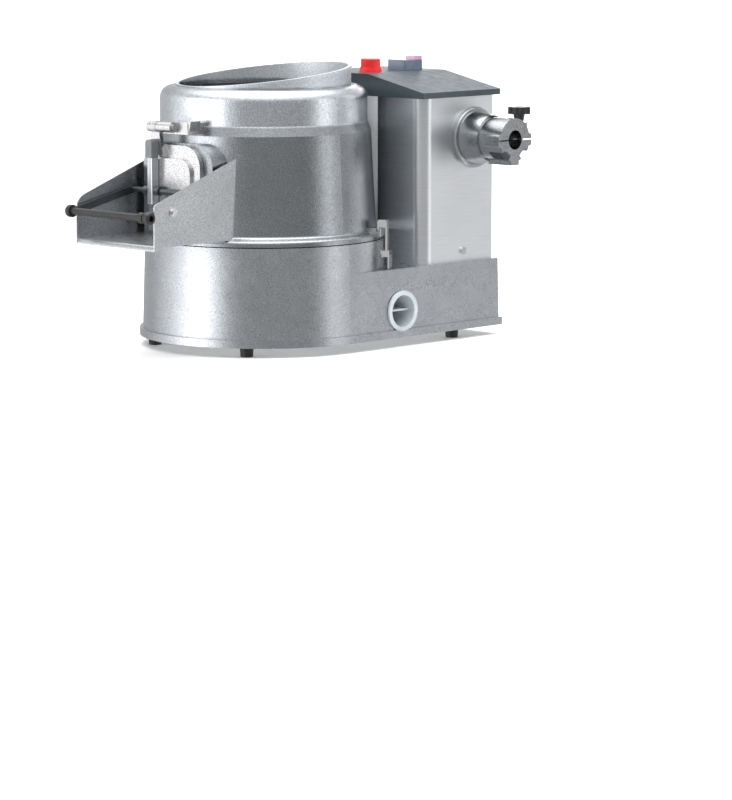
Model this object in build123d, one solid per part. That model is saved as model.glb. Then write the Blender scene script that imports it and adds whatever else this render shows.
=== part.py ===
from build123d import *
from math import acos, atan, atan2, cos, degrees, hypot, radians, sin
import os

# Combi potato peeler: a cast drum with an abrasive turntable stands on a cast base,
# and a steel motor column behind it carries an accessory drive hub.
# Every part is built in millimetres about the vertical axis of the drum, with z = 0
# on the floor, the discharge door towards -Y and the accessory hub towards +X.
# export_all() then moves the model so that the origin is the middle of its footprint.

# ---------------------------------------------------------------- driving sizes
BASE_R = 188.0  # base wall radius at the flange, with draft to BASE_TOP_R
BASE_TOP_R = 184.0
BASE_WALL = 5.0
FLANGE_R = 193.0
FLANGE_LOW, FLANGE_TOP = 15.0, 27.0
DECK_Z = 120.0  # rear deck that carries the motor column
JOINT_Z = 164.5  # top of the base's round wall
REAR_Y = 332.0
FLANGE_REAR_Y = 334.5

LIP_Z = 166.0  # bottom of the drum's flared lip
DRUM_TOP_Z = 399.0
DRUM_WALL = 5.0
COLLAR_R = 134.5
COLLAR_WALL = 4.5
COLLAR_MID_Z = 415.3
COLLAR_RISE_X = 0.041  # slope of the oblique rim along X and along Y
COLLAR_RISE_Y = 0.104

BOSS_HALF_W = 76.0  # flat-faced frame round the discharge door
BOSS_Y = -180.0
BOSS_TOP_Z = 319.0
DOOR_HALF_W = 57.0
DOOR_TOP_Z = 316.0
DOOR_LOW_Z = 184.0
HINGE_Y, HINGE_Z = -196.0, 343.0
STRAP_X = -34.0  # the door's arm stands left of the middle

TRAY_HALF_W = 87.5
TRAY_FRONT_Y = -308.0
TRAY_Z = 178.0
SHEET = 2.5
PIVOT_Y, PIVOT_Z = -271.0, 226.0

GRIP_Y, GRIP_Z = -318.0, 220.0
CROSS_Y, CROSS_Z = -200.0, 246.0
ARM_X = 80.0

COLUMN_HALF_W = 175.0
COLUMN_FRONT_Y = 170.0
COLUMN_TOP_Z = 377.0
COLUMN_SHEET = 2.0
RECESS_R = 187.5

COVER_HALF_W = 187.0
COVER_SKIRT_Z = 386.0
COVER_FLAT_HALF_W = 67.0
COVER_TOP_Z = 411.0
COVER_FRONT_Y, COVER_REAR_Y = 160.0, 334.0

HUB_Y, HUB_Z = 284.0, 312.0
HUB_FACE_X = 264.0
HUB_R = 35.0
HUB_BORE_R = 15.0
HUB_SCREW_R = 37.0
HUB_BORE_DEPTH = 50.0
CLAMP_X, CLAMP_Y = 245.0, HUB_Y + 30.0

DRAIN_Y, DRAIN_Z = 112.0, 55.0
DRAIN_R = 31.5

MOTOR_Y = 250.0
SHAFT_R = 12.5
MOTOR_SHAFT_R = 9.0
TAKEOFF_R = 10.0
RUN = 0.05  # radial running clearance of every shaft in its bearing
PULLEY_R = 70.0
MOTOR_PULLEY_R = 22.0
PULLEY_LOW, PULLEY_TOP = 34.0, 54.0
BELT_GAP = 0.4
BELT_THICK = 4.0

DISC_R = 153.5
DISC_LOW, DISC_TOP = 170.0, 182.0

STOP_X, STOP_Y = 30.0, 204.0
START_X, START_Y = 30.0, 282.5
LENS_X, LENS_Y = 39.5, 292.5

LATCH_ANGLE = 29.0
LATCH_PIN_R, LATCH_PIN_Z = 190.0, 146.0
HOOK_PIN_R, HOOK_PIN_Z = 196.5, 144.5

# The middle of the footprint: hub face to flange, and rear flange to hand grip.
GRIP_END_R = 9.5
SHIFT_X = -(HUB_FACE_X - FLANGE_R) / 2
SHIFT_Y = -(FLANGE_REAR_Y + GRIP_Y - GRIP_END_R) / 2

BASE_SCREWS = ((152, -81), (-152, -81), (170, 170), (-170, 170), (110, 314), (-110, 314))
FEET = ((102, -136), (-102, -136), (165, 248), (-165, 248))
INLET_ANGLE, INLET_Z = 150.0, 300.0

PARTS = {}


# ---------------------------------------------------------------- helpers
def add(name, *solids):
    """Keep one sub-part, made of one or several separate solids."""
    PARTS[name] = solids


def cyl(radius, low, high, x=0.0, y=0.0):
    """Upright cylinder from z = low to z = high."""
    return Pos(x, y, (low + high) / 2) * Cylinder(radius, high - low)


def ring(outer, inner, low, high, x=0.0, y=0.0):
    """Upright tube."""
    return cyl(outer, low, high, x, y) - cyl(inner, low - 1, high + 1, x, y)


def box(x0, x1, y0, y1, z0, z1):
    """Box from its two corners."""
    middle = Pos((x0 + x1) / 2, (y0 + y1) / 2, (z0 + z1) / 2)
    return middle * Box(x1 - x0, y1 - y0, z1 - z0)


def along_x(radius, x0, x1, y, z):
    """Cylinder along X."""
    return Pos((x0 + x1) / 2, y, z) * Rot(0, 90, 0) * Cylinder(radius, x1 - x0)


def along_y(radius, y0, y1, x, z):
    """Cylinder along Y."""
    return Pos(x, (y0 + y1) / 2, z) * Rot(90, 0, 0) * Cylinder(radius, y1 - y0)


def cone(r_low, r_high, low, high, x=0.0, y=0.0):
    """Upright cone frustum."""
    return Pos(x, y, (low + high) / 2) * Cone(r_low, r_high, high - low)


def cone_x(r_near, r_far, x0, x1, y, z):
    """Cone frustum along X, r_near at x0."""
    return Pos((x0 + x1) / 2, y, z) * Rot(0, 90, 0) * Cone(r_near, r_far, x1 - x0)


def d_plate(half_w, rear_y, low, high):
    """Plate with a round front about the drum axis and a straight rear edge."""
    return cyl(half_w, low, high) + box(-half_w, half_w, 0, rear_y, low, high)


def arch(half_w, low, high, corner, y0, y1):
    """Panel standing across Y with its two upper corners rounded."""
    block = box(-half_w, half_w, y0, y1, low, high)
    return fillet(block.edges().filter_by(Axis.Y).group_by(Axis.Z)[-1], corner)


def prism_x(points, x0, x1):
    """Outline in the Y-Z plane, extruded from x0 to x1."""
    return Pos(x0, 0, 0) * extrude(Plane.YZ * Polygon(*points, align=None), x1 - x0, dir=(1, 0, 0))


def prism_y(points, y0, y1):
    """Outline in the X-Z plane, extruded from y0 to y1."""
    return Pos(0, y0, 0) * extrude(Plane.XZ * Polygon(*points, align=None), y1 - y0, dir=(0, 1, 0))


def sloping_bar(x0, x1, start, end, height):
    """Flat bar between two points of the Y-Z plane, with round ends."""
    length = hypot(end[0] - start[0], end[1] - start[1])
    tilt = degrees(atan2(end[1] - start[1], end[0] - start[0]))
    middle = Pos((x0 + x1) / 2, (start[0] + end[0]) / 2, (start[1] + end[1]) / 2)
    bar = middle * Rot(tilt, 0, 0) * Box(x1 - x0, length, height)
    for y, z in (start, end):
        bar = bar + along_x(height / 2, x0, x1, y, z)
    return bar


def around(shape, angle):
    """Turn a shape built on the +X side about the drum axis."""
    return Rot(0, 0, angle) * shape


# ---------------------------------------------------------------- base
def base_wall():
    """Solid of the base's outside without its foot flange."""
    draft = (BASE_R - BASE_TOP_R) / (JOINT_Z - FLANGE_TOP)
    deck_half_w = BASE_R - draft * (DECK_Z - FLANGE_TOP)
    sides = ((-BASE_R, FLANGE_TOP), (BASE_R, FLANGE_TOP), (deck_half_w, DECK_Z), (-deck_half_w, DECK_Z))
    return cone(BASE_R, BASE_TOP_R, FLANGE_TOP, JOINT_Z) + prism_y(sides, 0, REAR_Y)


def make_base():
    inside = BASE_TOP_R - BASE_WALL
    casting = base_wall() + d_plate(FLANGE_R, FLANGE_REAR_Y, FLANGE_LOW, FLANGE_TOP)
    casting = casting - d_plate(inside - 1, REAR_Y - 9, FLANGE_LOW - 1, DECK_Z - BASE_WALL)
    casting = casting - cyl(inside, DECK_Z - 6, JOINT_Z + 1)
    casting = casting - cyl(inside, FLANGE_LOW - 1, DECK_Z)
    casting = casting - cyl(45, DECK_Z - 6, DECK_Z + 1, 0, MOTOR_Y)
    casting = casting - along_x(DRAIN_R - 3.5, 150, 200, DRAIN_Y, DRAIN_Z)
    casting = casting - along_x(DRAIN_R, 187.6, 200, DRAIN_Y, DRAIN_Z)
    casting = casting - along_y(8, REAR_Y - 20, REAR_Y + 10, -120, 70)
    for x, y in BASE_SCREWS:
        casting = casting + cyl(10, FLANGE_LOW + 3, 45, x, y) - cyl(2.5, 10, 40, x, y)
    above_deck = cyl(200, DECK_Z, JOINT_Z + 2)
    add("base_casting", casting - above_deck)
    add("drum_seat", casting & above_deck)


def make_base_fittings():
    plate = d_plate(177.5, REAR_Y - 9.5, FLANGE_LOW, FLANGE_LOW + 3)
    for x, y in BASE_SCREWS:
        plate = plate - cyl(2.5, 10, 20, x, y)
    for y in (80, 110, 140):
        plate = plate - box(-40, 40, y - 3, y + 3, 10, 20)
    add("base_plate", plate)
    screws = [cyl(5, 12.5, FLANGE_LOW, x, y) + cyl(2.5, 14, 36, x, y) for x, y in BASE_SCREWS]
    add("base_screws", *screws)
    add("rubber_feet", *[cone(9.5, 10.75, 0, FLANGE_LOW, x, y) for x, y in FEET])
    gland = along_y(8, REAR_Y - 9, REAR_Y + 2.4, -120, 70) - along_y(4.5, REAR_Y - 20, 350, -120, 70)
    add("cable_gland", gland)


def make_wet_group():
    """Pan under the turntable, its drain, the spindle housing, bearings and seals."""
    pan = ring(170, 166, 86, JOINT_Z) + cyl(170, 86, 90) + ring(178.5, 166, 160.5, JOINT_Z)
    add("wet_pan", pan - cyl(31.5, 80, 95) - cyl(18, 80, 95, 96, DRAIN_Y))
    tube = along_x(DRAIN_R - 3.5, 74, 190.5, DRAIN_Y, DRAIN_Z) + cyl(22, DRAIN_Z, 86, 96, DRAIN_Y)
    tube = tube + along_x(DRAIN_R, 187.6, 191, DRAIN_Y, DRAIN_Z)
    tube = tube - along_x(DRAIN_R - 7, 78, 195, DRAIN_Y, DRAIN_Z) - cyl(18, DRAIN_Z, 90, 96, DRAIN_Y)
    rib = along_x(DRAIN_R - 5, 120, 176, DRAIN_Y, DRAIN_Z)
    rib = rib & box(120, 176, 0, 200, DRAIN_Z - 1.5, DRAIN_Z + 1.5)
    add("drain_pipe", tube + rib)
    housing = cyl(31.5, 60, 136) + cyl(52, 90, 98)
    add("bearing_housing", housing - cyl(26, 59, 129) - cyl(20, 50, 140))
    bearings = [ring(26, SHAFT_R + RUN, 64, 79), ring(26, SHAFT_R + RUN, 108, 123)]
    add("spindle_bearings", *bearings)
    add("shaft_seal", ring(20, SHAFT_R + RUN, 130, 136))
    add("drum_gasket", ring(178.4, 169.5, JOINT_Z, LIP_Z))


# ---------------------------------------------------------------- drum
def drum_outer():
    """Outside of the drum: flared lip, tapering wall, step, shoulder and door frame."""
    outline = Polyline((0, LIP_Z), (184, LIP_Z), (184, 170))
    outline += Spline((184, 170), (172.5, 182), tangents=[(0, 1), (-0.05, 1)])
    outline += Polyline((172.5, 182), (165, 330), (159.5, 345), (159.5, 380))
    outline += RadiusArc((159.5, 380), (140.5, DRUM_TOP_Z), -19)
    outline += Polyline((140.5, DRUM_TOP_Z), (0, DRUM_TOP_Z), (0, LIP_Z))
    turned = revolve(Plane.XZ * make_face(outline.edges()), Axis.Z)
    return turned + arch(BOSS_HALF_W, 176, BOSS_TOP_Z, 35, BOSS_Y, -100)


def drum_inner():
    """Hollow of the drum, one wall thickness inside it."""
    outline = Polyline((0, LIP_Z - 1), (169.5, LIP_Z - 1), (167.5, 182), (160, 330), (154.5, 345))
    outline += Line((154.5, 345), (154.5, 380))
    outline += RadiusArc((154.5, 380), (140.5, DRUM_TOP_Z - DRUM_WALL), -14)
    outline += Polyline((140.5, DRUM_TOP_Z - DRUM_WALL), (0, DRUM_TOP_Z - DRUM_WALL), (0, LIP_Z - 1))
    return revolve(Plane.XZ * make_face(outline.edges()), Axis.Z)


def above_rim():
    """Everything above the oblique plane of the filling rim."""
    tilt = Rot(degrees(atan(COLLAR_RISE_Y)), -degrees(atan(COLLAR_RISE_X)), 0)
    return Pos(0, 0, COLLAR_MID_Z) * tilt * Pos(0, 0, 100) * Box(500, 500, 200)


def door_opening():
    return arch(50, 188, 300, 28, -200, -90)


def inlet_hole():
    return around(along_x(8, 145, 200, 0, INLET_Z), INLET_ANGLE)


def make_drum():
    collar = cyl(COLLAR_R, DRUM_TOP_Z - 4, 440)
    bead = Pos(0, 0, COLLAR_MID_Z) * Rot(degrees(atan(COLLAR_RISE_Y)), -degrees(atan(COLLAR_RISE_X)), 0)
    bead = bead * Pos(0, 0, -2.5) * Cylinder(COLLAR_R + 1.5, 5)
    drum = drum_outer() + (collar - above_rim()) + (bead - above_rim()) - drum_inner()
    drum = drum - cyl(COLLAR_R - COLLAR_WALL, 380, 450)
    add("drum_casting", drum - door_opening() - inlet_hole())
    lining = ring(159.5, 156.5, 186, 328)
    add("abrasive_lining", lining - door_opening() - inlet_hole())
    inlet = along_x(8, 153, 178, 0, INLET_Z) + along_x(12, 168.5, 174, 0, INLET_Z)
    inlet = inlet + along_x(6.5, 177, 204, 0, INLET_Z)
    add("water_inlet", around(inlet - along_x(4.5, 140, 210, 0, INLET_Z), INLET_ANGLE))


# ---------------------------------------------------------------- door and chute
def make_hinge():
    bracket = box(STRAP_X + 10.5, 34, HINGE_Y + 5, -140, 333, 350)
    bracket = bracket + along_x(8, STRAP_X + 10.5, 8, HINGE_Y, HINGE_Z)
    bracket = bracket + box(STRAP_X + 10.5, 8, HINGE_Y, HINGE_Y + 6, 337, 349)
    blade = ((8, 333), (8, 350), (40, 353), (36, 338))
    bracket = bracket + prism_y(blade, HINGE_Y + 6, HINGE_Y + 26)
    bracket = bracket - drum_outer() - along_x(3, -60, 60, HINGE_Y, HINGE_Z)
    add("hinge_bracket", bracket)
    pin = along_x(3, STRAP_X - 11.5, 9, HINGE_Y, HINGE_Z) + along_x(5, 8.2, 11.5, HINGE_Y, HINGE_Z)
    add("hinge_pin", pin)


def make_door():
    front = BOSS_Y - 8
    back = BOSS_Y - 0.4
    raised = arch(40, DOOR_LOW_Z + 8, 296, 22, front - 5, front)
    plate = arch(DOOR_HALF_W, DOOR_LOW_Z, DOOR_TOP_Z, 33, front, back) + raised
    seal = arch(54, DOOR_LOW_Z + 1.5, 312, 30, BOSS_Y - 2.4, back)
    seal = seal - arch(51, DOOR_LOW_Z + 4.5, 309, 28, BOSS_Y - 3, BOSS_Y)
    add("door_panel", plate - seal)
    add("door_seal", seal)


def make_door_arm():
    """Strap up to the hinge, ribbed bar and end cap in front of the door."""
    front = BOSS_Y - 8
    left, right = STRAP_X - 10, STRAP_X + 10
    outline = ((left, HINGE_Z), (left, 303), (right + 10, 298))
    outline += ((right + 3, 316), (right, 330), (right, HINGE_Z))
    strap = prism_y(outline, front - 7, front) - arch(40, 180, 296.2, 22, front - 8, front)
    strap = strap + along_x(8.5, left, right, HINGE_Y, HINGE_Z)
    add("door_strap", strap - along_x(3 + RUN, -80, 20, HINGE_Y, HINGE_Z))
    bar = box(STRAP_X - 6, STRAP_X + 6, front - 19, front - 5, 226, 296)
    bar = fillet(bar.edges().filter_by(Axis.Z), 2)
    for x in (-3, 0, 3):
        bar = bar - box(STRAP_X + x - 0.7, STRAP_X + x + 0.7, front - 20, front - 17.6, 230, 300)
    bar = bar - along_x(4, -100, 100, CROSS_Y, CROSS_Z)
    add("door_bar", bar)
    cap = box(STRAP_X - 7, STRAP_X + 7, front - 21, front - 7, 296, 324)
    add("door_cap", fillet(cap.edges().filter_by(Axis.Y).group_by(Axis.Z)[-1], 6.5))


def make_door_handle():
    """Cross rod on the door, two side arms and the front grip."""
    handle = along_x(4, -ARM_X, ARM_X, CROSS_Y, CROSS_Z)
    for x in (-ARM_X, ARM_X):
        handle = handle + sloping_bar(x - 2, x + 2, (CROSS_Y, CROSS_Z), (GRIP_Y, GRIP_Z), 11)
    for x in (STRAP_X - 12, STRAP_X + 12):
        handle = handle + along_x(6.8, x - 5, x + 5, CROSS_Y, CROSS_Z)
    add("door_handle", handle - along_x(4, -100, 100, GRIP_Y, GRIP_Z))
    grip = along_x(4, -90, 90, GRIP_Y, GRIP_Z)
    grip = grip + along_x(5.5, -ARM_X + 2, ARM_X - 2, GRIP_Y, GRIP_Z)
    grip = grip + along_x(8, ARM_X - 12, ARM_X - 2, GRIP_Y, GRIP_Z)
    for side in (-1, 1):
        x0, x1 = sorted((side * (ARM_X + 2), side * (ARM_X + 12)))
        knob = along_x(GRIP_END_R, x0, x1, GRIP_Y, GRIP_Z)
        outer = knob.edges().filter_by(GeomType.CIRCLE).sort_by(Axis.X)[-1 if side > 0 else 0]
        grip = grip + fillet(outer, 3.5)
        grip = grip - along_x(4.8, *sorted((side * (ARM_X + 5), side * (ARM_X + 13))), GRIP_Y, GRIP_Z)
    add("door_grip", grip)


def make_chute():
    floor = box(-TRAY_HALF_W, TRAY_HALF_W, TRAY_FRONT_Y + 8, -120, TRAY_Z - SHEET, TRAY_Z)
    bend = along_x(8, -TRAY_HALF_W, TRAY_HALF_W, TRAY_FRONT_Y + 8, TRAY_Z - 8)
    bend = bend - along_x(8 - SHEET, -90, 90, TRAY_FRONT_Y + 8, TRAY_Z - 8)
    bend = bend & box(-90, 90, TRAY_FRONT_Y - 1, TRAY_FRONT_Y + 8, TRAY_Z - 8, TRAY_Z)
    side = ((TRAY_FRONT_Y, TRAY_Z - 8), (TRAY_FRONT_Y, 238), (-140, 298), (-110, 298), (-110, TRAY_Z - 8))
    tray = floor + bend
    for x0, corner in ((-TRAY_HALF_W, 24), (TRAY_HALF_W - SHEET, 6)):
        cheek = prism_x(side, x0, x0 + SHEET)
        front = cheek.edges().filter_by(Axis.X).sort_by(Axis.Y)[:2].sort_by(Axis.Z)[-1]
        tray = tray + fillet(front, corner)
    under = box(-90, 90, TRAY_FRONT_Y + 8, 0, 150, TRAY_Z - SHEET)
    tray = tray - under - drum_outer() - drum_inner()
    for x0 in (-TRAY_HALF_W, TRAY_HALF_W - SHEET):
        tray = tray - along_x(3, x0 - 1, x0 + SHEET + 1, PIVOT_Y, PIVOT_Z)
    add("chute_tray", tray)
    screws = []
    for side in (-1, 1):
        inner, face = side * (TRAY_HALF_W - SHEET), side * TRAY_HALF_W
        shank = along_x(3, *sorted((inner, face)), PIVOT_Y, PIVOT_Z)
        washer = along_x(7.5, *sorted((face, face + side * 1.5)), PIVOT_Y, PIVOT_Z)
        head = along_x(5, *sorted((face + side * 1.5, face + side * 5)), PIVOT_Y, PIVOT_Z)
        slot = Pos(face + side * 5, PIVOT_Y, PIVOT_Z) * Rot(35, 0, 0) * Box(2.6, 11, 1.6)
        screws.append(shank + washer + head - slot)
    add("cheek_screws", *screws)


# ---------------------------------------------------------------- toggle clamps
def in_plane(radius, half_w, at_r, at_z):
    """Round bar across the clamp, on the +X side."""
    return Pos(at_r, 0, at_z) * Rot(90, 0, 0) * Cylinder(radius, 2 * half_w)


def make_latches():
    mount = box(180, 187, -10, 10, 122, 162) + in_plane(3, 4.8, LATCH_PIN_R, LATCH_PIN_Z)
    mount = mount + box(183, LATCH_PIN_R, -4.8, 4.8, LATCH_PIN_Z - 3, LATCH_PIN_Z + 3)
    mount = mount - base_wall() - in_plane(1.5 + RUN, 12, LATCH_PIN_R, LATCH_PIN_Z)
    keeper = box(168, 190, -10, 10, 170, 183) - box(182, 187.4, -11, 11, 178, 184)
    keeper = keeper - drum_outer()
    lever = box(199.8, 202, -9, 9, 121, 149)
    for y0, y1 in ((-9, -6), (6, 9)):
        lever = lever + box(LATCH_PIN_R, 202, y0, y1, 139, 148.4)
        lever = lever + Pos(0, (y0 + y1) / 2, 0) * in_plane(2.5, 1.5, LATCH_PIN_R, LATCH_PIN_Z)
    lever = lever - box(199, 203, -5.9, 5.9, 142.8, 150)
    lever = lever + in_plane(1.5, 9, LATCH_PIN_R, LATCH_PIN_Z)
    lever = lever + in_plane(1.5, 9, HOOK_PIN_R, HOOK_PIN_Z)
    hook = box(195, 198, -5, 5, HOOK_PIN_Z, 196) + in_plane(2.7, 5, HOOK_PIN_R, HOOK_PIN_Z)
    hook = hook + box(183.2, 198, -8, 8, 184, 196) + box(183.2, 186, -8, 8, 178.6, 184)
    hook = fillet(hook.edges().filter_by(Axis.Y).group_by(Axis.Z)[-1], 4)
    hook = hook - in_plane(1.5 + RUN, 12, HOOK_PIN_R, HOOK_PIN_Z)
    sides = {"right": LATCH_ANGLE, "left": 180 - LATCH_ANGLE}
    add("latch_bases", *[around(mount, angle) for angle in sides.values()])
    add("latch_keepers", *[around(keeper, angle) for angle in sides.values()])
    for side, angle in sides.items():
        add("latch_lever_" + side, around(lever, angle))
        add("latch_hook_" + side, around(hook, angle))


# ---------------------------------------------------------------- motor column
def column_outline(inset, low, high):
    """Column plan with a hollow front that clears the drum, inset from the outside."""
    half_w = COLUMN_HALF_W - inset
    block = box(-half_w, half_w, COLUMN_FRONT_Y + inset, REAR_Y - inset, low, high)
    front = block.edges().filter_by(Axis.Z).group_by(Axis.Y)[0]
    rear = block.edges().filter_by(Axis.Z).group_by(Axis.Y)[-1]
    block = fillet(front, 20 - inset)
    rear = block.edges().filter_by(Axis.Z).group_by(Axis.Y)[-1]
    return fillet(rear, 5 - inset) - cyl(RECESS_R + inset, low - 1, high + 1)


def hub_screw_places():
    """Four screws on a circle round the hub axis."""
    turns = [radians(angle) for angle in (45, 135, 225, 315)]
    return [(HUB_Y + HUB_SCREW_R * cos(turn), HUB_Z + HUB_SCREW_R * sin(turn)) for turn in turns]


def make_column():
    shell = column_outline(0, DECK_Z, COLUMN_TOP_Z)
    shell = shell - column_outline(COLUMN_SHEET, DECK_Z - 1, COLUMN_TOP_Z + 1)
    shell = shell - along_x(28, 150, 180, HUB_Y, HUB_Z)
    shell = shell - box(-120, 120, REAR_Y - 5, REAR_Y + 1, 150, 350)
    shell = shell - along_x(2.5, 150, 180, 262, 136)
    for y, z in hub_screw_places():
        shell = shell - along_x(2.5, 150, 180, y, z)
    screws = [along_x(2.5, 171, 175, 262, 136) + along_x(6, 175, 177.5, 262, 136)]
    screws[0] = screws[0] - box(176.5, 178, 255, 270, 135.2, 136.8)
    panel = box(-130, 130, REAR_Y, REAR_Y + 1.5, 140, 360)
    for row in range(8):
        z = 300 - 9 * row
        panel = panel - box(-60, 60, REAR_Y - 1, REAR_Y + 3, z - 2, z + 2)
    for x in (-125, 125):
        for z in (146, 354):
            shell = shell - along_y(2, REAR_Y - 5, REAR_Y + 3, x, z)
            panel = panel - along_y(2, REAR_Y - 5, REAR_Y + 3, x, z)
            shank = along_y(2, REAR_Y - 3, REAR_Y + 1.5, x, z)
            screws.append(shank + along_y(4, REAR_Y + 1.5, REAR_Y + 2.5, x, z))
    add("column_housing", shell)
    add("column_rear_panel", panel)
    add("column_screws", *screws)


def cover_outline(inset):
    """Gable shape of the cover in the X-Z plane."""
    wide, flat = COVER_HALF_W - inset, COVER_FLAT_HALF_W
    low, skirt, top = COLUMN_TOP_Z, COVER_SKIRT_Z - 0.4 * inset, COVER_TOP_Z - inset
    return ((-wide, low), (wide, low), (wide, skirt), (flat, top), (-flat, top), (-wide, skirt))


def make_cover():
    cover = prism_y(cover_outline(0), COVER_FRONT_Y, COVER_REAR_Y)
    hollow = prism_y(cover_outline(3), COVER_FRONT_Y + 3, COVER_REAR_Y - 3)
    floor = box(-200, 200, 150, 340, COLUMN_TOP_Z - 1, COLUMN_TOP_Z + 3)
    floor = floor - box(-160, 160, 200, 315, COLUMN_TOP_Z - 2, COLUMN_TOP_Z + 4)
    cover = cover - (hollow - floor) - cyl(164, 370, 420)
    front_wall = ring(167, 164, COLUMN_TOP_Z, COVER_TOP_Z - 1)
    cover = cover + (front_wall & prism_y(cover_outline(1), COVER_FRONT_Y, 175))
    cover = cover - cyl(7, 400, 420, STOP_X, STOP_Y)
    cover = cover - box(LENS_X - 6, LENS_X + 6, LENS_Y - 6, LENS_Y + 6, 400, 420)
    add("column_cover", cover)


# ---------------------------------------------------------------- controls
def make_controls():
    bezel = cone(18.2, 16.5, COVER_TOP_Z, COVER_TOP_Z + 7.5, STOP_X, STOP_Y)
    bezel = bezel - cyl(6, 400, 430, STOP_X, STOP_Y)
    bezel = bezel - cyl(15.8, COVER_TOP_Z + 2, COVER_TOP_Z + 9, STOP_X, STOP_Y)
    add("stop_bezel", bezel)
    cap = cyl(15.3, COVER_TOP_Z + 7, COVER_TOP_Z + 21, STOP_X, STOP_Y)
    cap = fillet(cap.edges().group_by(Axis.Z)[-1], 2)
    add("stop_button", cap + cyl(5, 399, COVER_TOP_Z + 8, STOP_X, STOP_Y))
    block = box(START_X - 20, START_X + 20, START_Y - 20, START_Y + 20, COVER_TOP_Z, COVER_TOP_Z + 17)
    block = fillet(block.edges().filter_by(Axis.Z), 3)
    block = fillet(block.edges().group_by(Axis.Z)[-1], 1.5)
    block = block - box(LENS_X - 9.5, LENS_X + 9.5, LENS_Y - 9.5, LENS_Y + 9.5, COVER_TOP_Z + 5, 430)
    block = block - box(LENS_X - 5, LENS_X + 5, LENS_Y - 5, LENS_Y + 5, 400, 430)
    add("start_block", block)
    lens = box(LENS_X - 9, LENS_X + 9, LENS_Y - 9, LENS_Y + 9, COVER_TOP_Z + 10, COVER_TOP_Z + 23)
    lens = fillet(lens.edges().group_by(Axis.Z)[-1], 1.5)
    stem = box(LENS_X - 4.5, LENS_X + 4.5, LENS_Y - 4.5, LENS_Y + 4.5, 399, COVER_TOP_Z + 11)
    add("start_button", lens + stem)
    switches = []
    for x, y in ((STOP_X, STOP_Y), (LENS_X, LENS_Y)):
        switch = box(x - 12, x + 12, y - 12, y + 12, 382, 408)
        switches.append(switch - box(x - 6, x + 6, y - 6, y + 6, 390, 410))
    add("switch_bodies", *switches)
    add("control_box", box(-165, -80, 205, 315, 230, 345) - box(-162, -83, 204, 312, 233, 342))


# ---------------------------------------------------------------- drive
def belt_face(extra):
    """Outline round both pulleys, extra outside their rims."""
    big, small = PULLEY_R + extra, MOTOR_PULLEY_R + extra
    lean = acos((big - small) / MOTOR_Y)
    corners = []
    for side, radius, centre in ((1, big, 0), (1, small, MOTOR_Y), (-1, small, MOTOR_Y), (-1, big, 0)):
        corners.append((side * radius * sin(lean), centre + radius * cos(lean)))
    outline = Polygon(*corners, align=None)
    return outline + Circle(big) + Pos(0, MOTOR_Y) * Circle(small)


def make_drive():
    height = PULLEY_TOP - PULLEY_LOW
    shaft = cyl(SHAFT_R, 28, DISC_LOW)
    add("turntable_shaft", shaft + cyl(8, DISC_LOW, DISC_TOP + 8))
    pulley = cyl(PULLEY_R, PULLEY_LOW, PULLEY_TOP) - ring(PULLEY_R - 8, 24, PULLEY_LOW + 6, PULLEY_TOP + 1)
    for angle in range(0, 360, 60):
        pulley = pulley - around(cyl(11, PULLEY_LOW - 1, PULLEY_TOP, 42, 0), angle)
    pulley = pulley - cyl(SHAFT_R, 20, 60)
    add("turntable_pulley", pulley)
    small = cyl(MOTOR_PULLEY_R, PULLEY_LOW, PULLEY_TOP, 0, MOTOR_Y)
    add("motor_pulley", small - cyl(MOTOR_SHAFT_R, 20, 60, 0, MOTOR_Y))
    loop = belt_face(BELT_GAP + BELT_THICK) - belt_face(BELT_GAP)
    add("drive_belt", Pos(0, 0, PULLEY_LOW + 3) * extrude(loop, height - 6))


def make_turntable():
    disc = cyl(DISC_R, DISC_LOW, DISC_TOP - 2) + cone(DISC_R, DISC_R - 2, DISC_TOP - 2, DISC_TOP)
    for angle in (0, 120, 240):
        ridge = Pos(90, 0, DISC_TOP) * Rot(0, 90, 0) * Cylinder(16, 90)
        ridge = ridge & box(30, 150, -30, 30, DISC_LOW + 2, DISC_TOP + 11)
        disc = disc + around(ridge, angle)
    for angle in range(30, 360, 60):
        disc = disc + around(box(40, 145, -2, 2, DISC_LOW - 12, DISC_LOW), angle)
    add("abrasive_disc", disc - cyl(8, 150, 220))
    nut = Pos(0, 0, DISC_TOP) * extrude(RegularPolygon(14, 6), 8) - cyl(8, 150, 220)
    add("disc_nut", nut)


def make_motor():
    stator = ring(55, 32, 130, 268, 0, MOTOR_Y) + ring(55, MOTOR_SHAFT_R + RUN, 126, 134, 0, MOTOR_Y)
    stator = stator + ring(55, MOTOR_SHAFT_R + RUN, 264, 270, 0, MOTOR_Y)
    for index in range(24):
        fin = Pos(0, MOTOR_Y, 200) * Rot(0, 0, 15 * index) * Pos(56.5, 0, 0) * Box(5, 2.4, 110)
        stator = stator + fin
    add("motor_stator", stator)
    plate = box(-70, 70, 190, 312, DECK_Z, DECK_Z + 6) - cyl(30, 110, 130, 0, MOTOR_Y)
    add("motor_plate", plate - cyl(RECESS_R + 3, 100, 130))
    rotor = cyl(31, 145, 255, 0, MOTOR_Y) + cyl(MOTOR_SHAFT_R, 30, 338, 0, MOTOR_Y)
    rotor = rotor + cyl(11, 296, 328, 0, MOTOR_Y)
    for turn in range(6):
        rotor = rotor - ring(12, 9.8, 298 + 5 * turn, 300.5 + 5 * turn, 0, MOTOR_Y)
    add("motor_rotor", rotor)


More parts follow.
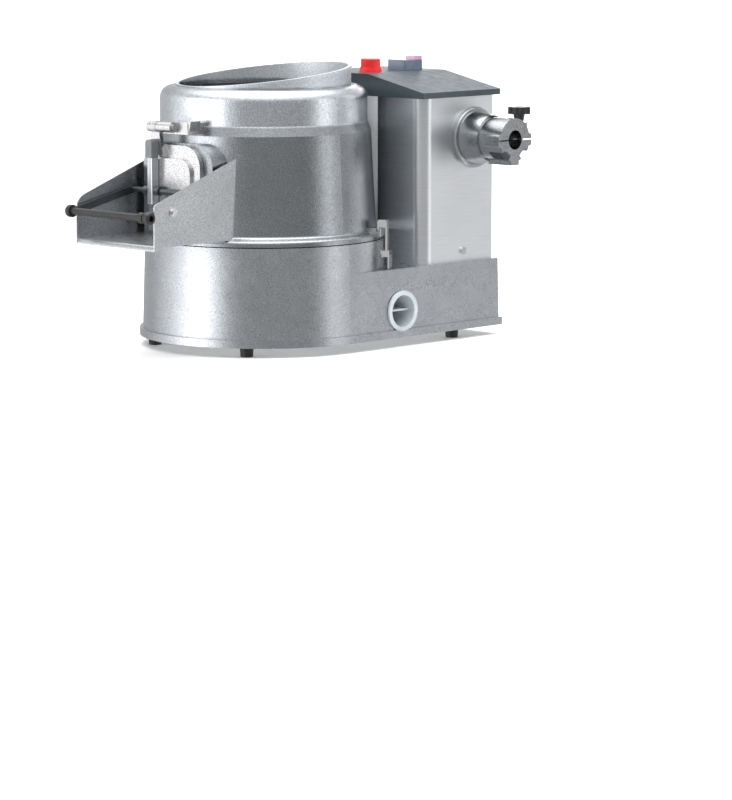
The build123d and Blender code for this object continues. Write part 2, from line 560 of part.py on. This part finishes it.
def make_gearbox():
    case = box(-34, 34, 231, 315, 276, 348) - box(-30, 30, 235, 311, 280, 349)
    case = case - cyl(MOTOR_SHAFT_R + RUN, 270, 290, 0, MOTOR_Y)
    case = case + cyl(24, 270, 276, 0, MOTOR_Y) - cyl(MOTOR_SHAFT_R + RUN, 260, 290, 0, MOTOR_Y)
    case = case - along_x(TAKEOFF_R + RUN, -35, 35, HUB_Y, HUB_Z)
    add("gearbox_housing", case)
    add("gearbox_lid", box(-34, 34, 231, 315, 348, 352))
    wheel = along_x(22.5, -9, 9, HUB_Y, HUB_Z) - along_x(TAKEOFF_R, -10, 10, HUB_Y, HUB_Z)
    for index in range(18):
        notch = Pos(0, HUB_Y, HUB_Z) * Rot(20 * index, 0, 0) * Pos(0, 22.5, 0) * Box(20, 4, 3)
        wheel = wheel - notch
    add("worm_wheel", wheel)
    shaft = along_x(TAKEOFF_R, -33, HUB_FACE_X - HUB_BORE_DEPTH - 2, HUB_Y, HUB_Z)
    socket = Pos(HUB_FACE_X - HUB_BORE_DEPTH - 12, HUB_Y, HUB_Z) * Box(22, 11, 11)
    add("takeoff_shaft", shaft - socket)


def make_hub():
    flange = along_x(47.5, COLUMN_HALF_W, COLUMN_HALF_W + 8, HUB_Y, HUB_Z)
    flange = fillet(flange.edges().sort_by(Axis.X)[-1], 3)
    boss = cone_x(42, 36, COLUMN_HALF_W + 8, 217, HUB_Y, HUB_Z)
    nose = along_x(HUB_R - 1.5, 217, HUB_FACE_X, HUB_Y, HUB_Z)
    foot = box(217, HUB_FACE_X, HUB_Y - 9, HUB_Y + 9, HUB_Z - HUB_R - 4, HUB_Z - 20)
    ears = box(228, HUB_FACE_X, HUB_Y - 37.5, HUB_Y + 37.5, HUB_Z - 10, HUB_Z + 9)
    post = box(CLAMP_X - 10, CLAMP_X + 10, HUB_Y + 12, CLAMP_Y + 7.5, HUB_Z - 10, 337)
    hub = flange + boss + nose + foot + fillet(ears.edges().filter_by(Axis.X), 3) + post
    hub = hub - along_x(24, 160, 200, HUB_Y, HUB_Z) - along_x(TAKEOFF_R + 2, 190, 225, HUB_Y, HUB_Z)
    hub = hub - along_x(HUB_BORE_R, HUB_FACE_X - HUB_BORE_DEPTH, 270, HUB_Y, HUB_Z)
    for side in (-1, 1):
        notch = Pos(250, HUB_Y, HUB_Z) * Rot(side * 42, 0, 0) * Pos(0, 0, -34) * Box(30, 17, 18)
        hub = hub - notch
    hub = hub - box(246, 266, HUB_Y - 50, HUB_Y + 50, HUB_Z - 1, HUB_Z + 1)
    hub = hub - cyl(4 + RUN, HUB_Z - 4, 340, CLAMP_X, CLAMP_Y)
    screws = []
    for y, z in hub_screw_places():
        hub = hub - along_x(2.5, 170, COLUMN_HALF_W + 8, y, z)
        screws.append(along_x(2.5, 171.5, COLUMN_HALF_W + 7, y, z))
    add("accessory_hub", hub)
    add("hub_screws", *screws)
    bearing = along_x(24, 177, 191, HUB_Y, HUB_Z) - along_x(TAKEOFF_R + RUN, 170, 195, HUB_Y, HUB_Z)
    add("takeoff_bearings", bearing)


def make_clamp():
    add("clamp_stud", cyl(4, HUB_Z - 1.5, 352, CLAMP_X, CLAMP_Y))
    knob = cyl(17.5, 350, 361, CLAMP_X, CLAMP_Y)
    for index in range(7):
        turned = Pos(CLAMP_X, CLAMP_Y, 355) * Rot(0, 0, 360 / 7 * index)
        knob = knob - turned * Pos(20.5, 0, 0) * Cylinder(6, 20)
    knob = knob + cone(7, 9, 338.4, 350, CLAMP_X, CLAMP_Y) - cyl(4, 330, 352, CLAMP_X, CLAMP_Y)
    add("clamp_knob", knob)


def export_all():
    os.makedirs("parts", exist_ok=True)
    shift = Location((SHIFT_X, SHIFT_Y, 0))
    for name, solids in PARTS.items():
        pieces = [piece for shape in solids for piece in shape.solids()]
        placed = [piece.moved(shift) for piece in pieces]
        whole = placed[0] if len(placed) == 1 else Compound(children=placed)
        export_step(whole, "parts/" + name + ".step")


make_base()
make_base_fittings()
make_wet_group()
make_drum()
make_hinge()
make_door()
make_door_arm()
make_door_handle()
make_chute()
make_latches()
make_column()
make_cover()
make_controls()
make_drive()
make_turntable()
make_motor()
make_gearbox()
make_hub()
make_clamp()
export_all()
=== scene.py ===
from math import pi, radians

import bpy
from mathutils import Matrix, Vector

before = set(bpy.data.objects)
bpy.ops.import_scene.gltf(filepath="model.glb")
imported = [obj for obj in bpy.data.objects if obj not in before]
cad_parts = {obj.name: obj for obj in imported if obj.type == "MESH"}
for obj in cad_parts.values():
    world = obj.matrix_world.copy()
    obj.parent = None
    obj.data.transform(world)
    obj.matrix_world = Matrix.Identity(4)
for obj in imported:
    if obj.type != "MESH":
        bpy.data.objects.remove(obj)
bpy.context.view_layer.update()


# The camera, and the side of the machine that the studio walls are set up for.
CAMERA_AZIMUTH = radians(44.4)
STUDIO_HEADING = CAMERA_AZIMUTH
CAMERA_PLACE = (4.0135, -3.9135, 0.740)
CAMERA_PITCH = radians(8.4)
CAMERA_LENS = 164.66
SENSOR_WIDTH = 36

PIT_TONE = 0.58  # the casting's pits, as a share of its dark tone
SCRATCH_TONE = 0.92  # the scratches in ground metal, as a share of its tone

FLOOR_HALF = 60
LAMP_PLACE = (0.0, 0.0, 3.2)
LAMP_SIZE = (2.4, 2.4)
LAMP_POWER = 45


# ---------------------------------------------------------------- material helpers
class Shade:
    """A node material being put together. Coordinates are the object's own, in metres."""

    def __init__(self, name, metallic, **settings):
        self.material = bpy.data.materials.new(name)
        self.material.use_nodes = True
        self.nodes = self.material.node_tree.nodes
        self.links = self.material.node_tree.links
        self.shader = self.nodes["Principled BSDF"]
        self.shader.inputs["Metallic"].default_value = metallic
        for key, value in settings.items():
            self.shader.inputs[key.replace("_", " ")].default_value = value
        self.coords = self.nodes.new("ShaderNodeTexCoord")
        self.last_bump = None

    def noise(self, scale, detail=3.0, stretch=(1, 1, 1), rough=0.55):
        mapping = self.nodes.new("ShaderNodeMapping")
        mapping.inputs["Scale"].default_value = stretch
        self.links.new(self.coords.outputs["Object"], mapping.inputs["Vector"])
        texture = self.nodes.new("ShaderNodeTexNoise")
        texture.inputs["Scale"].default_value = scale
        texture.inputs["Detail"].default_value = detail
        texture.inputs["Roughness"].default_value = rough
        self.links.new(mapping.outputs["Vector"], texture.inputs["Vector"])
        return texture.outputs["Fac"]

    def cells(self, scale):
        texture = self.nodes.new("ShaderNodeTexVoronoi")
        texture.inputs["Scale"].default_value = scale
        self.links.new(self.coords.outputs["Object"], texture.inputs["Vector"])
        return texture.outputs["Distance"]

    def spread(self, factor, low, high, start=0.3, end=0.7):
        """Remap a factor to a range of values."""
        remap = self.nodes.new("ShaderNodeMapRange")
        remap.inputs["From Min"].default_value = start
        remap.inputs["From Max"].default_value = end
        remap.inputs["To Min"].default_value = low
        remap.inputs["To Max"].default_value = high
        self.links.new(factor, remap.inputs["Value"])
        return remap.outputs["Result"]

    def blend(self, factor, low, high):
        """Colour between low and high."""
        mix = self.nodes.new("ShaderNodeMix")
        mix.data_type = "RGBA"
        for socket, value in ((mix.inputs[6], low), (mix.inputs[7], high)):
            if isinstance(value, tuple):
                socket.default_value = (*value, 1)
            else:
                self.links.new(value, socket)
        self.links.new(factor, mix.inputs[0])
        return mix.outputs[2]

    def height(self):
        """Height above the floor."""
        parts = self.nodes.new("ShaderNodeSeparateXYZ")
        self.links.new(self.coords.outputs["Object"], parts.inputs["Vector"])
        return parts.outputs["Z"]

    def scaled(self, tint, by):
        """A colour multiplied by one number."""
        node = self.nodes.new("ShaderNodeVectorMath")
        node.operation = "SCALE"
        node.inputs["Scale"].default_value = by
        self.links.new(tint, node.inputs[0])
        return node.outputs[0]

    def added(self, one, other):
        """The sum of two values."""
        node = self.nodes.new("ShaderNodeMath")
        self.links.new(one, node.inputs[0])
        self.links.new(other, node.inputs[1])
        return node.outputs[0]

    def colour(self, socket):
        self.links.new(socket, self.shader.inputs["Base Color"])

    def roughness(self, socket):
        self.links.new(socket, self.shader.inputs["Roughness"])

    def bump(self, height, strength, distance):
        node = self.nodes.new("ShaderNodeBump")
        node.inputs["Strength"].default_value = strength
        node.inputs["Distance"].default_value = distance
        self.links.new(height, node.inputs["Height"])
        if self.last_bump:
            self.links.new(self.last_bump, node.inputs["Normal"])
        self.last_bump = node.outputs["Normal"]
        self.links.new(self.last_bump, self.shader.inputs["Normal"])


def cast_aluminium(name, dark, light, rough_low, rough_high, grain=0.35, painted_light_zones=()):
    """Blasted casting: coarse sparkling grain, soft clouding and a slightly wavy skin.

    Each zone is (height, blend, tone, rough): from that height up, over that blend, the colour is
    multiplied by tone, as painted light and shade, and the roughness is raised by rough.
    """
    shade = Shade(name, 1.0)
    coarse = shade.noise(760, 2, rough=0.6)
    base = shade.blend(shade.spread(shade.noise(14, 4), 0, 1), dark, light)
    darker = tuple(PIT_TONE * part for part in dark)
    tint = shade.blend(shade.spread(coarse, 0, 1, 0.32, 0.66), darker, base)
    rough = shade.spread(shade.noise(60, 5), rough_low, rough_high)
    # painted light and shade: each zone scales the colour from its height up
    for height, soft, tone, extra in painted_light_zones:
        above = shade.spread(shade.height(), 0, 1, height, height + soft)
        tint = shade.blend(above, tint, shade.scaled(tint, tone))
        rough = shade.added(rough, shade.spread(above, 0, extra, 0, 1))
    shade.colour(tint)
    shade.roughness(rough)
    shade.bump(shade.noise(11, 2), 0.3, 0.0012)
    shade.bump(coarse, grain, 0.0005)
    return shade.material


def brushed(name, tone, rough_low, rough_high, stretch, scratch=0.25):
    """Ground sheet or turned bar: long fine scratches along one direction."""
    shade = Shade(name, 1.0)
    lines = shade.noise(700, 3, stretch)
    clouds = shade.noise(7, 3)
    dark = tuple(SCRATCH_TONE * part for part in tone)
    shade.colour(shade.blend(shade.spread(lines, 0, 1), dark, tone))
    shade.roughness(shade.spread(clouds, rough_low, rough_high))
    shade.bump(clouds, 0.12, 0.001)
    shade.bump(lines, scratch, 0.00012)
    return shade.material


def plastic(name, dark, light, rough_low, rough_high, grain_scale, grain, **settings):
    """Moulded plastic or rubber: leathery grain and uneven gloss."""
    shade = Shade(name, 0.0, **settings)
    shade.colour(shade.blend(shade.spread(shade.noise(30, 4), 0, 1), dark, light))
    shade.roughness(shade.spread(shade.noise(80, 3), rough_low, rough_high))
    shade.bump(shade.cells(grain_scale), grain, 0.00025)
    return shade.material


def abrasive(name):
    """Silicon carbide grit set in resin."""
    shade = Shade(name, 0.0)
    grit = shade.cells(420)
    facets = shade.spread(grit, 0, 1, 0.1, 0.6)
    shade.colour(shade.blend(facets, (0.34, 0.33, 0.31), (0.07, 0.07, 0.07)))
    shade.roughness(shade.spread(grit, 0.55, 0.95, 0.1, 0.6))
    shade.bump(grit, 0.9, 0.0012)
    shade.bump(shade.noise(900, 4), 0.5, 0.0005)
    return shade.material


# Heights on the drum, as painted light and shade in cast_aluminium: painted light from the step up,
# painted shade on the collar above it, and painted light on the collar's top, which is also rougher.
DRUM_PAINTED_LIGHT = ((0.342, 0.003, 1.9, 0.02), (0.386, 0.008, 0.72, 0.0), (0.399, 0.004, 1.5, 0.26))

LOOKS = {
    "casting": cast_aluminium("casting", (0.52, 0.54, 0.57), (0.63, 0.66, 0.69), 0.24, 0.34),
    "drum": cast_aluminium("drum_casting", (0.38, 0.40, 0.42), (0.46, 0.485, 0.51), 0.17, 0.26,
                           painted_light_zones=DRUM_PAINTED_LIGHT),
    # The door castings: the same casting painted lighter, as painted reflection of the bright light
    # they catch.
    "door_painted_light": cast_aluminium("door_painted_light_casting", (0.72, 0.72, 0.73), (0.84, 0.84, 0.85),
                               0.20, 0.30, 0.12),
    "chute": cast_aluminium("chute_casting", (0.60, 0.62, 0.64), (0.72, 0.74, 0.77),
                            0.26, 0.36, 0.22),
    "hub": cast_aluminium("hub_casting", (0.52, 0.54, 0.56), (0.64, 0.66, 0.68), 0.16, 0.26, 0.08),
    "sheet": brushed("brushed_sheet", (0.78, 0.80, 0.82), 0.30, 0.38, (0.03, 0.03, 1), 0.02),
    "turned": brushed("turned_steel", (0.70, 0.70, 0.71), 0.16, 0.28, (0.05, 1, 1)),
    "plated": brushed("zinc_plate", (0.80, 0.80, 0.80), 0.10, 0.22, (1, 1, 1), 0.12),
    "brass": brushed("brass", (0.72, 0.52, 0.24), 0.18, 0.32, (1, 1, 0.1)),
    "cover": plastic("cover_plastic", (0.026, 0.040, 0.048), (0.036, 0.053, 0.062),
                     0.38, 0.5, 900, 0.25),
    "black": plastic("black_plastic", (0.008, 0.008, 0.009), (0.018, 0.018, 0.019),
                     0.28, 0.45, 700, 0.25),
    "grey": plastic("grey_plastic", (0.14, 0.15, 0.16), (0.20, 0.21, 0.22), 0.3, 0.45, 700, 0.3),
    "dark_metal": brushed("dark_coated_steel", (0.13, 0.145, 0.155), 0.30, 0.42, (1, 1, 0.2), 0.2),
    "pale": plastic("pale_plastic", (0.42, 0.47, 0.50), (0.55, 0.60, 0.63), 0.3, 0.45, 800, 0.2),
    "rubber": plastic("rubber", (0.010, 0.010, 0.010), (0.024, 0.023, 0.022),
                      0.6, 0.85, 500, 0.5),
    "paint": plastic("motor_paint", (0.05, 0.06, 0.07), (0.08, 0.09, 0.10), 0.35, 0.55, 260, 0.4),
    "red": plastic("red_plastic", (0.72, 0.004, 0.004), (0.86, 0.010, 0.008), 0.3, 0.42, 900, 0.1,
                   Coat_Weight=0.15, Coat_Roughness=0.12),
    "blue": plastic("blue_plastic", (0.09, 0.13, 0.19), (0.17, 0.22, 0.30), 0.12, 0.22, 900, 0.05,
                    Coat_Weight=0.5, Coat_Roughness=0.08),
    "pink": plastic("pink_lens", (0.60, 0.32, 0.47), (0.72, 0.48, 0.62), 0.12, 0.22, 900, 0.05,
                    Coat_Weight=0.5, Coat_Roughness=0.08),
    "grit": abrasive("abrasive_grit"),
}

NODE_LOOKS = {
    "casting": ("base_casting", "drum_seat", "bearing_housing", "wet_pan",
                "gearbox_housing", "gearbox_lid"),
    "drum": ("drum_casting",),
    # door castings: the casting painted lighter, as painted reflection
    "door_painted_light": ("door_panel", "hinge_bracket", "door_strap"),
    "chute": ("chute_tray",),
    "hub": ("accessory_hub",),
    "sheet": ("column_housing", "column_rear_panel", "base_plate", "motor_plate", "door_bar"),
    "turned": ("turntable_shaft", "takeoff_shaft", "motor_pulley", "turntable_pulley",
               "spindle_bearings", "takeoff_bearings", "motor_rotor", "disc_nut", "hinge_pin"),
    "plated": ("base_screws", "cheek_screws", "column_screws", "hub_screws",
               "latch_bases", "latch_keepers", "latch_lever_right", "latch_lever_left",
               "latch_hook_right", "latch_hook_left"),
    "brass": ("worm_wheel", "water_inlet"),
    "cover": ("column_cover",),
    "dark_metal": ("door_handle", "clamp_stud"),
    "black": ("clamp_knob", "door_grip", "cable_gland", "switch_bodies"),
    "grey": ("door_cap", "control_box"),
    "pale": ("drain_pipe",),
    "rubber": ("rubber_feet", "shaft_seal", "drum_gasket", "door_seal", "drive_belt"),
    "paint": ("motor_stator",),
    "red": ("stop_bezel", "stop_button"),
    "blue": ("start_block",),
    "pink": ("start_button",),
    "grit": ("abrasive_lining", "abrasive_disc"),
}


def paint_frame():
    """Give every CAD node its material."""
    for look, names in NODE_LOOKS.items():
        for name in names:
            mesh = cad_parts[name].data
            mesh.materials.clear()
            mesh.materials.append(LOOKS[look])


def soften(name, width, angle=40):
    """Small rounded edges on a CAD node, by a modifier."""
    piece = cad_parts[name]
    modifier = piece.modifiers.new("edges", "BEVEL")
    modifier.width = width
    modifier.segments = 2
    modifier.limit_method = "ANGLE"
    modifier.angle_limit = radians(angle)
    modifier.harden_normals = False


# ---------------------------------------------------------------- studio
def area_light(name, place, aim, size, power):
    data = bpy.data.lights.new(name, "AREA")
    data.shape = "RECTANGLE"
    data.size, data.size_y = size
    data.energy = power
    lamp = bpy.data.objects.new(name, data)
    lamp.location = place
    lamp.rotation_euler = (Vector(aim) - Vector(place)).to_track_quat("-Z", "Y").to_euler()
    bpy.context.scene.collection.objects.link(lamp)


# Brightness of the studio walls by heading, in degrees from the camera's side: soft boxes and
# dark gaps. Positive headings are on the picture's right and negative ones on its left.
WALLS = ((-180, 0.6), (-132, 0.32), (-122, 0.7), (-112, 1.05), (-96, 1.3), (-84, 1.9),
         (-72, 3.0), (-52, 2.9), (-44, 1.35), (-34, 0.6), (-20, 0.46), (40, 0.42), (60, 0.36),
         (66, 1.6), (80, 1.45), (88, 0.55), (98, 0.5), (108, 0.9), (122, 1.2), (134, 0.3),
         (180, 0.6))

# The ceiling by height of view (sine of the angle above the horizon): how far it covers the
# walls, and its brightness.
CEILING = ((0.32, 0.0, 1.2), (0.44, 1.0, 1.45), (0.62, 1.0, 1.0), (0.85, 1.0, 0.8))


def fill_ramp(ramp, stops):
    """Set a colour ramp's grey stops, each one (position, brightness, alpha), in rising order."""
    elements = ramp.elements
    ends = {0: elements[0], len(stops) - 1: elements[1]}
    for index, end in ends.items():
        end.position = stops[index][0]
    for index, (position, tone, alpha) in enumerate(stops):
        element = ends.get(index) or elements.new(position)
        element.color = (tone, tone, tone, alpha)


def make_world():
    """Soft boxes all round, as a brightness by heading, with a ceiling over them."""
    world = bpy.data.worlds.new("studio")
    world.use_nodes = True
    nodes, links = world.node_tree.nodes, world.node_tree.links
    coords = nodes.new("ShaderNodeTexCoord")
    facing = nodes.new("ShaderNodeMapping")
    facing.inputs["Rotation"].default_value = (0, 0, pi / 2 - STUDIO_HEADING)
    links.new(coords.outputs["Generated"], facing.inputs["Vector"])
    parts = nodes.new("ShaderNodeSeparateXYZ")
    links.new(facing.outputs["Vector"], parts.inputs["Vector"])
    heading = nodes.new("ShaderNodeMath")
    heading.operation = "ARCTAN2"
    links.new(parts.outputs["Y"], heading.inputs[0])
    links.new(parts.outputs["X"], heading.inputs[1])
    share = nodes.new("ShaderNodeMapRange")
    share.inputs["From Min"].default_value = -pi
    share.inputs["From Max"].default_value = pi
    links.new(heading.outputs["Value"], share.inputs["Value"])
    brightest = max(value for _, value in WALLS)
    walls = nodes.new("ShaderNodeValToRGB")
    fill_ramp(walls.color_ramp, [((turn + 180) / 360, value / brightest, 1) for turn, value in WALLS])
    links.new(share.outputs["Result"], walls.inputs["Fac"])
    height = nodes.new("ShaderNodeValToRGB")
    fill_ramp(height.color_ramp, [(level, value / brightest, cover) for level, cover, value in CEILING])
    links.new(parts.outputs["Z"], height.inputs["Fac"])
    mix = nodes.new("ShaderNodeMix")
    mix.data_type = "RGBA"
    links.new(walls.outputs["Color"], mix.inputs[6])
    links.new(height.outputs["Color"], mix.inputs[7])
    links.new(height.outputs["Alpha"], mix.inputs[0])
    background = nodes["Background"]
    background.inputs["Strength"].default_value = brightest
    links.new(mix.outputs[2], background.inputs["Color"])
    bpy.context.scene.world = world


def make_studio():
    make_world()
    mesh = bpy.data.meshes.new("floor")
    corners = [(FLOOR_HALF * x, FLOOR_HALF * y, 0) for x, y in ((-1, -1), (1, -1), (1, 1), (-1, 1))]
    mesh.from_pydata(corners, [], [(0, 1, 2, 3)])
    floor = bpy.data.objects.new("floor", mesh)
    bpy.context.scene.collection.objects.link(floor)
    shade = Shade("pale_floor", 0.0)
    mottle = shade.spread(shade.noise(3, 3), 0, 1)
    shade.colour(shade.blend(mottle, (0.93, 0.93, 0.93), (0.95, 0.95, 0.95)))
    shade.roughness(shade.spread(shade.noise(40, 3), 0.75, 0.9))
    mesh.materials.append(shade.material)
    floor.visible_glossy = False
    area_light("overhead", LAMP_PLACE, (0, 0, 0), LAMP_SIZE, LAMP_POWER)


# ---------------------------------------------------------------- camera
def make_camera():
    data = bpy.data.cameras.new("camera")
    data.sensor_width = SENSOR_WIDTH
    data.lens = CAMERA_LENS
    camera = bpy.data.objects.new("camera", data)
    camera.location = CAMERA_PLACE
    camera.rotation_euler = (pi / 2 - CAMERA_PITCH, 0, CAMERA_AZIMUTH)
    bpy.context.scene.collection.objects.link(camera)
    bpy.context.scene.camera = camera


paint_frame()
for node_name, edge in (("chute_tray", 0.0004), ("accessory_hub", 0.0006)):
    soften(node_name, edge)
make_studio()
make_camera()
bpy.context.scene.view_settings.view_transform = "Standard"
